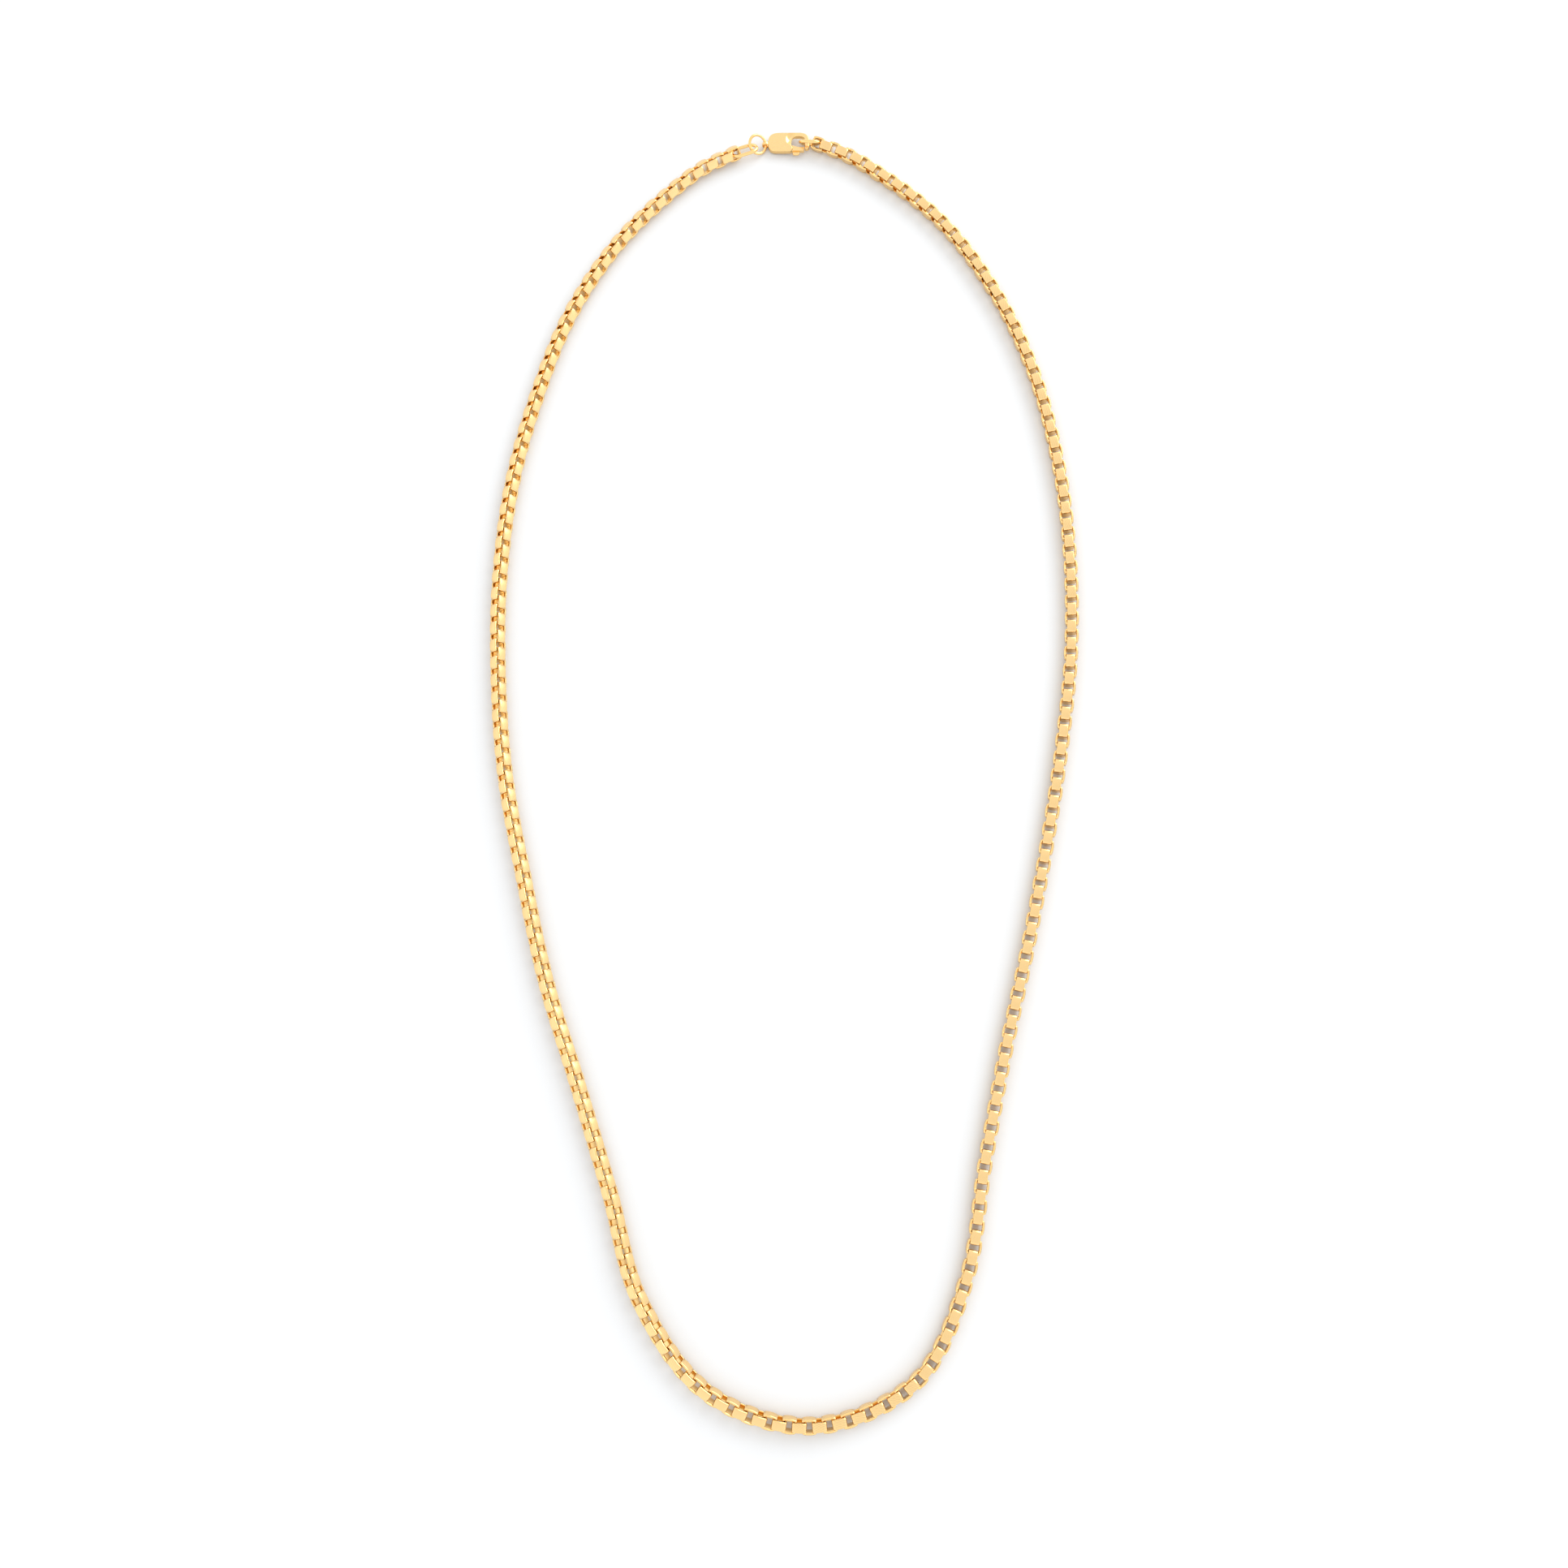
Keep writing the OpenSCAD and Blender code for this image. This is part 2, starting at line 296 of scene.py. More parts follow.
# Materials

# How far the gold's gloss strays from its middle, and how strongly its grain shows
GLOSS_SPREAD = 0.25
GRAIN_STRENGTH = 0.35
# Lowest and highest share of the gold's colour, in soft clouds or in slanting lines
CLOUD_SCALE = 900
CLOUD_TONES = (0.95, 1.04)
HATCH_SCALE = 1.25
HATCH_WOBBLE = 1.5
HATCH_SLANT = math.radians(65)
HATCH_TONES = (0.87, 1.08)


def gold_material(name, colour, roughness, grain_scale, grain_stretch, grain_depth, hatched=False):
    """A gold metal with fine grain in its gloss and surface; hatched puts slanting lines on a strip."""
    material = bpy.data.materials.new(name)
    material.use_nodes = True
    nodes = material.node_tree.nodes
    links = material.node_tree.links
    shader = nodes["Principled BSDF"]
    shader.inputs["Metallic"].default_value = 1.0

    place = nodes.new("ShaderNodeTexCoord")
    mapping = nodes.new("ShaderNodeMapping")
    mapping.inputs["Scale"].default_value = grain_stretch
    links.new(place.outputs["Object"], mapping.inputs["Vector"])

    grain = nodes.new("ShaderNodeTexNoise")
    grain.inputs["Scale"].default_value = grain_scale
    grain.inputs["Detail"].default_value = 3
    links.new(mapping.outputs["Vector"], grain.inputs["Vector"])

    gloss = nodes.new("ShaderNodeMapRange")
    gloss.inputs["To Min"].default_value = roughness * (1 - GLOSS_SPREAD)
    gloss.inputs["To Max"].default_value = roughness * (1 + GLOSS_SPREAD)
    links.new(grain.outputs["Fac"], gloss.inputs["Value"])
    links.new(gloss.outputs["Result"], shader.inputs["Roughness"])

    if hatched:
        slant = nodes.new("ShaderNodeMapping")
        slant.inputs["Rotation"].default_value = (0, 0, HATCH_SLANT)
        links.new(place.outputs["UV"], slant.inputs["Vector"])
        pattern = nodes.new("ShaderNodeTexWave")
        pattern.inputs["Scale"].default_value = HATCH_SCALE
        pattern.inputs["Distortion"].default_value = HATCH_WOBBLE
        pattern.inputs["Detail"].default_value = 2
        pattern.inputs["Detail Scale"].default_value = 2
        links.new(slant.outputs["Vector"], pattern.inputs["Vector"])
    else:
        pattern = nodes.new("ShaderNodeTexNoise")
        pattern.inputs["Scale"].default_value = CLOUD_SCALE
        pattern.inputs["Detail"].default_value = 2
        links.new(place.outputs["Object"], pattern.inputs["Vector"])
    tone = nodes.new("ShaderNodeMix")
    tone.data_type = "RGBA"
    low, high = HATCH_TONES if hatched else CLOUD_TONES
    tone.inputs["A"].default_value = (*[c * low for c in colour], 1)
    tone.inputs["B"].default_value = (*[min(1, c * high) for c in colour], 1)
    links.new(pattern.outputs["Fac"], tone.inputs["Factor"])
    links.new(tone.outputs["Result"], shader.inputs["Base Color"])

    bump = nodes.new("ShaderNodeBump")
    bump.inputs["Strength"].default_value = GRAIN_STRENGTH
    bump.inputs["Distance"].default_value = grain_depth
    links.new(grain.outputs["Fac"], bump.inputs["Height"])
    links.new(bump.outputs["Normal"], shader.inputs["Normal"])
    return material


PAPER_SCALE = 60
PAPER_TONE = 0.995


def floor_material(colour):
    """Matt white paper with a very faint mottle."""
    material = bpy.data.materials.new("white_paper")
    material.use_nodes = True
    nodes = material.node_tree.nodes
    links = material.node_tree.links
    shader = nodes["Principled BSDF"]
    shader.inputs["Roughness"].default_value = 0.9
    shader.inputs["Specular IOR Level"].default_value = 0.2
    place = nodes.new("ShaderNodeTexCoord")
    mottle = nodes.new("ShaderNodeTexNoise")
    mottle.inputs["Scale"].default_value = PAPER_SCALE
    links.new(place.outputs["Object"], mottle.inputs["Vector"])
    tone = nodes.new("ShaderNodeMix")
    tone.data_type = "RGBA"
    tone.inputs["A"].default_value = (*[c * PAPER_TONE for c in colour], 1)
    tone.inputs["B"].default_value = (*colour, 1)
    links.new(mottle.outputs["Fac"], tone.inputs["Factor"])
    links.new(tone.outputs["Result"], shader.inputs["Base Color"])
    return material


def necklace_materials():
    """The gold finishes by name, made once.

    A row is the colour, the roughness, then the grain's scale, stretch and depth, and whether it is hatched.
    """
    finish = settings().finish
    wanted = {
        "satin_gold": (finish.satin_colour, finish.satin, 9000, (1, 1, 1), 4e-6, True),
        "polished_gold": (finish.colour, finish.polished, 4000, (1, 1, 1), 1.5e-6),
        "brushed_gold": (finish.satin_colour, finish.satin * 0.9, 5000, (0.12, 1, 1), 3e-6),
    }
    for name, values in wanted.items():
        if name not in bpy.data.materials:
            gold_material(name, *values)
    return {name: bpy.data.materials[name] for name in wanted}


# The route of the chain


def span_point(i, t):
    """A point of the curve through the route's points."""
    a, b, c, d = (Vector(ROUTE[max(0, min(len(ROUTE) - 1, k))]) for k in (i - 1, i, i + 1, i + 2))
    bend = 2 * a - 5 * b + 4 * c - d
    twist = 3 * b - a - 3 * c + d
    return 0.5 * (2 * b + (c - a) * t + bend * t * t + twist * t * t * t)


def lookup(table, key):
    """The value at key in a table of rising keys, with straight steps between its rows."""
    for (k0, v0), (k1, v1) in zip(table, table[1:]):
        if key <= k1:
            return v0 + (v1 - v0) * max(0.0, key - k0) / (k1 - k0)
    return table[-1][1]


class ChainLine:
    """The chain's centre line: where a link sits at a distance along it, and how it is turned."""

    def __init__(self, sizes):
        self.sizes = sizes
        points = [
            span_point(i, k / SPANS_PER_POINT) for i in range(len(ROUTE) - 1) for k in range(SPANS_PER_POINT)
        ]
        points.append(Vector(ROUTE[-1]))
        travel = [0.0]
        for a, b in zip(points, points[1:]):
            travel.append(travel[-1] + (b - a).length)
        self.length = travel[-1]
        self.rows = list(zip(travel, points))

    def roll(self, s):
        """Roll of the chain at a distance s, in radians."""
        return math.radians(lookup(ROLL, s / self.length))

    def centre(self, s):
        """Centre of the chain at a distance s; it rests on the surface by its lowest corner."""
        flat = lookup(self.rows, s)
        roll = self.roll(s)
        wide, narrow = self.sizes.width / 2, self.sizes.strip_width / 2
        height = max(
            side * x * math.sin(roll) + y * math.cos(roll)
            for side in (-1, 1)
            for x, y in ((narrow, wide), (wide, narrow))
        )
        return Vector((flat.x, flat.y, height))

    def place(self, s):
        """The turn and place of a link whose length lies along X and whose hole faces Z."""
        step = self.sizes.pitch / 2
        along = (self.centre(min(self.length, s + step)) - self.centre(max(0.0, s - step))).normalized()
        heading = math.atan2(along.y, along.x)
        rise = math.asin(along.z)
        return (
            Matrix.Translation(self.centre(s))
            @ Matrix.Rotation(heading, 4, "Z")
            @ Matrix.Rotation(-rise, 4, "Y")
            @ Matrix.Rotation(-self.roll(s), 4, "X")
        )


# The box links

PLATE, EDGE = 0, 1
# Where the bowed plate's kinks lie, and the reach of the strip's bent corners, as shares
KINK_SHARE = 0.4
BEND_SHARE = 0.55
# Cosines that tell a face or edge along an axis from one across it
ALONG = 0.9
OUTWARD = 0.8
ACROSS = 0.1


def link_bmesh(sizes):
    """One link: a strip bent into a box, with bowed outer plates and bevelled edges. Its hole faces Z."""
    length = sizes.pitch + 2 * sizes.strip_thickness
    hole_x = sizes.pitch / 2
    hole_y = sizes.strip_width / 2 + sizes.play
    bm = bmesh.new()
    bmesh.ops.create_cube(bm, size=1, matrix=Matrix.Diagonal((length, sizes.width, sizes.strip_width, 1)))

    # Cuts across the box for the bow, and along it for the hole
    bow_x = KINK_SHARE * hole_x
    for x in (-hole_x, -bow_x, bow_x, hole_x):
        everything = bm.verts[:] + bm.edges[:] + bm.faces[:]
        bmesh.ops.bisect_plane(bm, geom=everything, plane_co=X_AXIS * x, plane_no=X_AXIS)
    for y in (-hole_y, hole_y):
        everything = bm.verts[:] + bm.edges[:] + bm.faces[:]
        bmesh.ops.bisect_plane(bm, geom=everything, plane_co=Y_AXIS * y, plane_no=Y_AXIS)

    # Bow of the outer plates
    for v in bm.verts:
        if abs(v.co.y) > hole_y + sizes.play / 2:
            v.co.y -= math.copysign(sizes.bow * (2 * v.co.x / length) ** 2, v.co.y)

    # The hole, with its inner walls bridged from rim to rim
    lids = [
        f for f in bm.faces
        if abs(f.normal.z) > ALONG and abs(f.calc_center_median().x) < hole_x
        and abs(f.calc_center_median().y) < hole_y
    ]
    bmesh.ops.delete(bm, geom=lids, context="FACES")
    bmesh.ops.bridge_loops(bm, edges=[e for e in bm.edges if e.is_boundary])

    # Corners where the strip is bent, then the polished edge along the strip's outer rim
    corners = [
        e for e in bm.edges
        if abs((e.verts[0].co - e.verts[1].co).normalized().z) > ALONG
        and abs(e.verts[0].co.x) > length / 2 - sizes.play / 4
        and abs(e.verts[0].co.y) > hole_y + sizes.play / 2
    ]
    bmesh.ops.bevel(
        bm, geom=corners, offset=sizes.strip_thickness * BEND_SHARE, offset_type="OFFSET", affect="EDGES",
        segments=2, profile=0.5, material=-1, clamp_overlap=True,
    )
    rim_edges = [
        e for e in bm.edges
        if len(e.link_faces) == 2 and any(abs(f.normal.z) > ALONG for f in e.link_faces)
        and any(abs(f.normal.z) < ACROSS and f.normal.dot(f.calc_center_median()) > 0 for f in e.link_faces)
    ]
    bmesh.ops.bevel(
        bm, geom=rim_edges, offset=sizes.rim, offset_type="OFFSET", affect="EDGES", segments=1, profile=0.5,
        material=-1, clamp_overlap=True,
    )
    bmesh.ops.recalc_face_normals(bm, faces=bm.faces[:])
    for f in bm.faces:
        outer_plate = abs(f.normal.y) > OUTWARD and f.normal.dot(f.calc_center_median()) > 0
        f.material_index = PLATE if outer_plate else EDGE

    # A flat map in millimetres, along and across the strip
    uv = bm.loops.layers.uv.new("strip")
    for f in bm.faces:
        for loop in f.loops:
            loop[uv].uv = (loop.vert.co.x / MM, loop.vert.co.z / MM)
    return bm


def add_copies(bm, template, places):
    """Adds a copy of the template mesh at each place."""
    for place in places:
        before = len(bm.verts)
        bm.from_mesh(template)
        bm.verts.ensure_lookup_table()
        bmesh.ops.transform(bm, matrix=place, verts=bm.verts[before:])


def link_template():
    """The link as a mesh that can be repeated."""
    template = bpy.data.meshes.new("link_template")
    bm = link_bmesh(settings().chain)
    bm.to_mesh(template)
    bm.free()
    return template


QUARTER = Matrix.Rotation(math.pi / 2, 4, "X")


class NECKLACE_OT_chain_links(bpy.types.Operator):
    """Makes the run of box links between the two end links"""

    bl_idname = "necklace.chain_links"
    bl_label = "Chain Links"

    def execute(self, context):
        sizes = settings().chain
        line = ChainLine(sizes)
        steps = round(line.length / sizes.pitch)
        steps += 1 - steps % 2
        chance = random.Random(sizes.seed)
        template = link_template()
        bm = bmesh.new()
        places = []
        for i in range(1, steps):
            place = line.place(line.length * i / steps)
            if i % 2:
                place = place @ QUARTER
            sway = [chance.uniform(-sizes.sway, sizes.sway) for _ in range(3)]
            turns = [Matrix.Rotation(angle, 4, axis) for angle, axis in zip(sway, "XYZ")]
            places.append(place @ turns[0] @ turns[1] @ turns[2])
        add_copies(bm, template, places)
        bpy.data.meshes.remove(template)
        golds = necklace_materials()
        links = finished_object("box_links", bm, [golds["satin_gold"], golds["polished_gold"]])
        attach(links, "necklace")
        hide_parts("chain")
        return {"FINISHED"}


class NECKLACE_OT_end_links(bpy.types.Operator):
    """Makes the first and last link, which stand in the oval rings"""

    bl_idname = "necklace.end_links"
    bl_label = "End Links"

    def execute(self, context):
        line = ChainLine(settings().chain)
        golds = necklace_materials()
        template = link_template()
        ends = (
            ("first_link", "right_end_link", line.place(0.0)),
            ("last_link", "left_end_link", line.place(line.length) @ QUARTER),
        )
        for name, node, place in ends:
            bm = bmesh.new()
            add_copies(bm, template, [place])
            link = finished_object(name, bm, [golds["satin_gold"], golds["polished_gold"]])
            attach(link, "necklace")
            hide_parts(node)
        bpy.data.meshes.remove(template)
        return {"FINISHED"}


# The rings

RING_STEPS = 48
WIRE_SIDES = 16


def turn_matrix(degrees):
    """Turns about X, then Y, then Z."""
    x, y, z = (math.radians(d) for d in degrees)
    return Matrix.Rotation(z, 4, "Z") @ Matrix.Rotation(y, 4, "Y") @ Matrix.Rotation(x, 4, "X")


def middle_of(node):
    """The middle of a node's box, which is the centre of a ring."""
    low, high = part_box(node)
    return (Vector(low) + Vector(high)) / 2


def wire_ring(radius, wire, straight):
    """A ring of round wire about Z; straight is the length of its straight sides."""
    bm = bmesh.new()
    half_step = math.pi / RING_STEPS
    stand = Matrix.Rotation(half_step, 4, "Z") @ Matrix.Translation((radius, 0, 0))
    bmesh.ops.create_circle(
        bm, segments=WIRE_SIDES, radius=wire / 2, matrix=stand @ Matrix.Rotation(math.pi / 2, 4, "X"),
    )
    bmesh.ops.spin(
        bm, geom=bm.verts[:] + bm.edges[:], cent=(0, 0, 0), axis=Z_AXIS, angle=2 * math.pi, steps=RING_STEPS,
        use_merge=True,
    )
    bmesh.ops.remove_doubles(bm, verts=bm.verts[:], dist=wire * 0.001)
    for v in bm.verts:
        v.co.x += math.copysign(straight / 2, v.co.x)
    bmesh.ops.recalc_face_normals(bm, faces=bm.faces[:])
    return bm


class NECKLACE_OT_rings(bpy.types.Operator):
    """Makes the two oval end rings and the round jump ring"""

    bl_idname = "necklace.rings"
    bl_label = "Rings"

    def execute(self, context):
        sizes = settings().rings
        golds = necklace_materials()
        oval_radius = (sizes.oval_inner_width + sizes.oval_wire) / 2
        oval_width = sizes.oval_inner_width + 2 * sizes.oval_wire
        on_edge = Matrix.Rotation(math.pi / 2, 4, "X")
        ovals = (
            ("hook_ring", "right_oval_ring", sizes.right_oval_length, RIGHT_OVAL_TURN),
            ("end_ring", "left_oval_ring", sizes.left_oval_length, LEFT_OVAL_TURN),
        )
        for name, node, length, turn in ovals:
            bm = wire_ring(oval_radius, sizes.oval_wire, length - oval_width)
            place = Matrix.Translation(middle_of(node)) @ turn_matrix(turn) @ on_edge
            bmesh.ops.transform(bm, matrix=place, verts=bm.verts[:])
            ring = finished_object(name, bm, [golds["polished_gold"]])
            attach(ring, "necklace")
            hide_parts(node)
        bm = wire_ring((sizes.jump_diameter - sizes.jump_wire) / 2, sizes.jump_wire, 0)
        place = Matrix.Translation(middle_of("jump_ring")) @ turn_matrix(JUMP_TURN)
        bmesh.ops.transform(bm, matrix=place, verts=bm.verts[:])
        ring = finished_object("round_ring", bm, [golds["polished_gold"]])
        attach(ring, "necklace")
        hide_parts("jump_ring")
        return {"FINISHED"}


# The clasp

CORNER_STEPS = 6
# Finest distance that the exact cuts leave between points, and the slope and angle where a face's finish ends
MERGE_DISTANCE = 0.002 * MM
SLIVER = 0.001 * MM
FACE_SLOPE = 0.98
SHARP_ANGLE = math.radians(50)


def soft_outline(corners):
    """Points round an outline; a row is x, y and, where the corner is softened, the reach of its curve."""
    points = []
    for i, (x, y, *reach) in enumerate(corners):
        corner = Vector((x, y))
        if not reach:
            points.append(corner)
            continue
        before = Vector(corners[i - 1][:2])
        after = Vector(corners[(i + 1) % len(corners)][:2])
        a = corner + (before - corner).normalized() * reach[0]
        b = corner + (after - corner).normalized() * reach[0]
        for k in range(CORNER_STEPS + 1):
            t = k / CORNER_STEPS
            points.append((1 - t) ** 2 * a + 2 * t * (1 - t) * corner + t * t * b)
    return points


def arc(centre, radius, start, end, steps):
    """Points along an arc, with its angles in degrees."""
    angles = [math.radians(start + (end - start) * k / steps) for k in range(steps + 1)]
    return [tuple(Vector(centre) + radius * Vector((math.cos(a), math.sin(a)))) for a in angles]


def plate(outline, thickness, edge, segments=3):
    """A flat plate in XY, centred on Z, with rounded rims."""
    bm = bmesh.new()
    verts = [bm.verts.new((p.x, p.y, -thickness / 2)) for p in outline]
    bottom = bm.faces.new(verts)
    made = bmesh.ops.extrude_face_region(bm, geom=[bottom])["geom"]
    top = [v for v in made if isinstance(v, bmesh.types.BMVert)]
    bmesh.ops.translate(bm, vec=Z_AXIS * thickness, verts=top)
    bmesh.ops.recalc_face_normals(bm, faces=bm.faces[:])
    rims = [
        e for e in bm.edges
        if abs(e.verts[0].co.z - e.verts[1].co.z) < thickness / 2 and len(e.link_faces) == 2
    ]
    bmesh.ops.bevel(
        bm, geom=rims, offset=edge, offset_type="OFFSET", affect="EDGES", segments=segments, profile=0.5,
        material=-1, clamp_overlap=True,
    )
    return bm


def disc(radius, thickness, place, segments=40):
    """A round disc at a place, as a bmesh."""
    bm = bmesh.new()
    bmesh.ops.create_cone(
        bm, cap_ends=True, segments=segments, radius1=radius, radius2=radius, depth=thickness, matrix=place,
    )
    return bm


def helper(name, bm):
    """A working object that cuts or joins another."""
    mesh = bpy.data.meshes.new(name)
    bm.to_mesh(mesh)
    bm.free()
    obj = bpy.data.objects.new(name, mesh)
    bpy.context.collection.objects.link(obj)
    return obj


def shaped(bm, steps):
    """The shape after each step of (operation, other shape) is carried out on it."""
    base = helper("clasp_work", bm)
    tools = []
    for operation, other in steps:
        tool = helper("clasp_tool", other)
        tools.append(tool)
        change = base.modifiers.new("step", "BOOLEAN")
        change.operation = operation
        change.solver = "EXACT"
        change.object = tool
    bpy.context.view_layer.update()
    done = bpy.data.meshes.new_from_object(base.evaluated_get(bpy.context.evaluated_depsgraph_get()))
    result = bmesh.new()
    result.from_mesh(done)
    bpy.data.meshes.remove(done)
    for obj in [base, *tools]:
        mesh = obj.data
        bpy.data.objects.remove(obj)
        bpy.data.meshes.remove(mesh)
    bmesh.ops.remove_doubles(result, verts=result.verts[:], dist=MERGE_DISTANCE)
    bmesh.ops.dissolve_degenerate(result, edges=result.edges[:], dist=SLIVER)
    return result


PIVOT_BACK = 0.4 * MM
PIVOT_DROP = 1.05 * MM


class ClaspPlaces:
    """Places in the clasp worked out from its sizes and from the lever's hinge in the frame."""

    def __init__(self, sizes):
        self.hook_inner = sizes.length - sizes.hook_width
        self.hole_left = self.hook_inner - sizes.hole_length
        self.hole_top = sizes.top - sizes.hook_top_width
        self.pivot = Vector((self.hole_left - PIVOT_BACK, -PIVOT_DROP))
        self.jaw = sizes.bottom + self.pivot.y
        self.arm = self.jaw + sizes.gap
        hinge = frame["joints"][0]
        axis = Vector(hinge["axis"]).normalized()
        tilt = math.acos(axis.z)
        turn = math.atan2(-axis.y, -axis.x)
        swing = Matrix.Rotation(turn, 4, "Z") @ Matrix.Rotation(-tilt, 4, "Y")
        eye = Vector(hinge["pos_m"]) - swing @ Vector((self.pivot.x, self.pivot.y, 0))
        self.matrix = Matrix.Translation(eye) @ swing


# Places on the body, and the reach of each of its corners
BODY_START = 0.5 * MM
HOOK_TIP = -1.15 * MM
BACK_REACH = 1.7 * MM
SHOULDER_REACH = 2.0 * MM
NOSE_REACH = 2.1 * MM
TIP_REACH = 0.5 * MM
TIP_INNER_REACH = 0.2 * MM
HOLE_FRONT_REACH = 1.1 * MM
HOLE_BACK_REACH = 0.9 * MM
BODY_RIM = 0.34 * MM
# The neck behind the eyelet
NECK_LENGTH = 0.6 * MM
NECK_THICKNESS = 0.6 * MM
NECK_RIM = 0.08 * MM
NECK_SHARE = 0.9
# The slot for the lever's tail, with a mouth wide enough for the lever's swing
TAIL_RADIUS = 0.5 * MM
TAIL_WIDTH = 0.6 * MM
MOUTH_REACH = 0.2 * MM
MOUTH_WIDTH = 0.94 * MM
MOUTH_RISE = 0.09 * MM
INSET_SHARE = 0.98
# The scoop beside the hole: its curve, its half width on the face, its stretch along Y and its middle
SCOOP_RADIUS = 2.4 * MM
SCOOP_ON_FACE = 1.19 * MM
SCOOP_STRETCH = 1.25
SCOOP_SHIFT = 0.02 * MM
SCOOP_HEIGHT = 1.0 * MM
# The lever's arm: how far its top corners lie from the pivot, and the reach of its corners
ARM_BOTTOM = -1.6 * MM
ARM_BASE = 0.62 * MM
ARM_BASE_REACH = 0.1 * MM
ARM_WAIST_X = 1.9 * MM
ARM_WAIST_Y = 0.22 * MM
ARM_WAIST_REACH = 0.5 * MM
ARM_TIP_Y = 0.2 * MM
ARM_TIP_REACH = 0.15 * MM
ARM_HEEL_REACH = 0.25 * MM
ARM_CLEARANCE = 0.1 * MM
ARM_RIM = 0.2 * MM
SADDLE_X = 0.55 * MM
# The thumb knob
KNOB_X = 0.68 * MM
KNOB_ROOT = 0.2 * MM
KNOB_REACH = 0.5 * MM
KNOB_RIM = 0.1 * MM
KNOB_DROP = 0.15 * MM
STRIP_REACH = 0.3 * MM
BORE_RADIUS = 0.23 * MM


def clasp_body_bmesh(sizes, places):
    """The clasp's body with its hook, eyelet and slot, and the scooped crescent beside its hole."""
    across = places.hole_left - places.pivot.x
    meet = math.degrees(math.acos(across / places.jaw))
    outline = soft_outline([
        (BODY_START, -sizes.bottom, BACK_REACH),
        (BODY_START, sizes.top, SHOULDER_REACH),
        (sizes.length, sizes.top, NOSE_REACH),
        (sizes.length, HOOK_TIP, TIP_REACH),
        (places.hook_inner, HOOK_TIP, TIP_INNER_REACH),
        (places.hook_inner, places.hole_top, HOLE_FRONT_REACH),
        (places.hole_left, places.hole_top, HOLE_BACK_REACH),
        *arc(places.pivot, places.jaw, meet, -90, 14),
    ])
    bm = plate(outline, sizes.thickness, BODY_RIM, 5)

    ring = bmesh.new()
    wall = (sizes.eye_diameter - sizes.eye_hole) / 2
    bmesh.ops.create_circle(
        ring, segments=12, radius=wall / 2,
        matrix=Matrix.Translation(((sizes.eye_diameter - wall) / 2, 0, 0))
        @ Matrix.Diagonal((1, sizes.eye_width / wall, 1, 1)),
    )
    bmesh.ops.spin(
        ring, geom=ring.verts[:] + ring.edges[:], cent=(0, 0, 0), axis=Y_AXIS, angle=2 * math.pi, steps=32,
        use_merge=True,
    )
    bmesh.ops.recalc_face_normals(ring, faces=ring.faces[:])

    neck = bmesh.new()
    bmesh.ops.create_cube(
        neck, size=1,
        matrix=Matrix.Translation((sizes.eye_hole / 2 + wall / 2 + NECK_LENGTH / 2, 0, 0))
        @ Matrix.Diagonal((NECK_LENGTH, sizes.eye_width * NECK_SHARE, NECK_THICKNESS, 1)),
    )
    bmesh.ops.bevel(
        neck, geom=neck.edges[:], offset=NECK_RIM, offset_type="OFFSET", affect="EDGES", segments=2,
        profile=0.5, material=-1,
    )

    slot_thickness = sizes.tail_thickness + 2 * sizes.gap
    hub = Matrix.Translation((places.pivot.x, places.pivot.y, 0))
    slot = disc(TAIL_RADIUS + sizes.gap, slot_thickness, hub)
    mouth = bmesh.new()
    mouth_l = places.jaw + MOUTH_REACH
    bmesh.ops.create_cube(
        mouth, size=1,
        matrix=hub @ Matrix.Translation((mouth_l / 2, MOUTH_RISE, 0))
        @ Matrix.Diagonal((mouth_l, MOUTH_WIDTH, slot_thickness * INSET_SHARE, 1)),
    )
    steps = [("UNION", neck), ("UNION", ring), ("DIFFERENCE", slot), ("DIFFERENCE", mouth)]
    lift = sizes.thickness / 2 + math.sqrt(SCOOP_RADIUS**2 - SCOOP_ON_FACE**2)
    for side in (-1, 1):
        scoop = bmesh.new()
        centre = Vector((places.hole_left + SCOOP_SHIFT, SCOOP_HEIGHT, side * lift))
        bmesh.ops.create_uvsphere(
            scoop, u_segments=48, v_segments=32, radius=SCOOP_RADIUS,
            matrix=Matrix.Translation(centre) @ Matrix.Diagonal((1, SCOOP_STRETCH, 1, 1)),
        )
        steps.append(("DIFFERENCE", scoop))
    return shaped(bm, steps)


